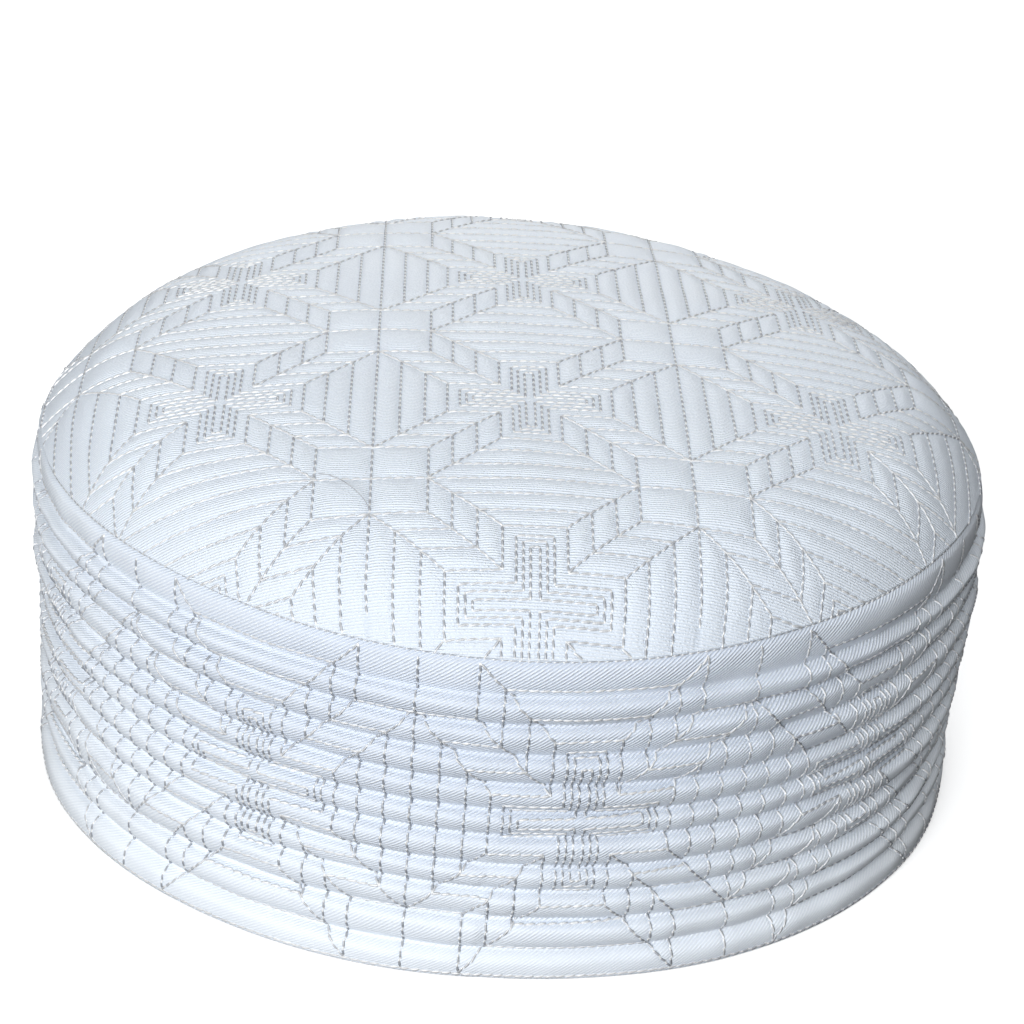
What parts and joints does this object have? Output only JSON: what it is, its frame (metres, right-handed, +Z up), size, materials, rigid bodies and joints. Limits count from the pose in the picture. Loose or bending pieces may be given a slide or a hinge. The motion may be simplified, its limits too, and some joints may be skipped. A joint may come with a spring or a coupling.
{
  "type": "kufi cap",
  "caption": "Round brimless quilted cap with a softly domed crown on a tall ribbed band, worn on the head.",
  "frame": {"origin": "middle of the cap's outline, on the plane that the hem rests on", "axes": "+Z up through the crown, -Y towards the front of the cap"},
  "size_m": [0.1926, 0.1898, 0.0876],
  "materials": {
    "crown_cloth": "white corded cotton, quilted, with a soft sheen",
    "band_cloth": "white cotton twill, gathered in padded ribs, with a soft sheen",
    "thread": "silver-grey lustrous embroidery thread"
  },
  "bodies": {
    "root": {"crown": "crown_cloth", "band": "band_cloth"}
  },
  "joints": []
}
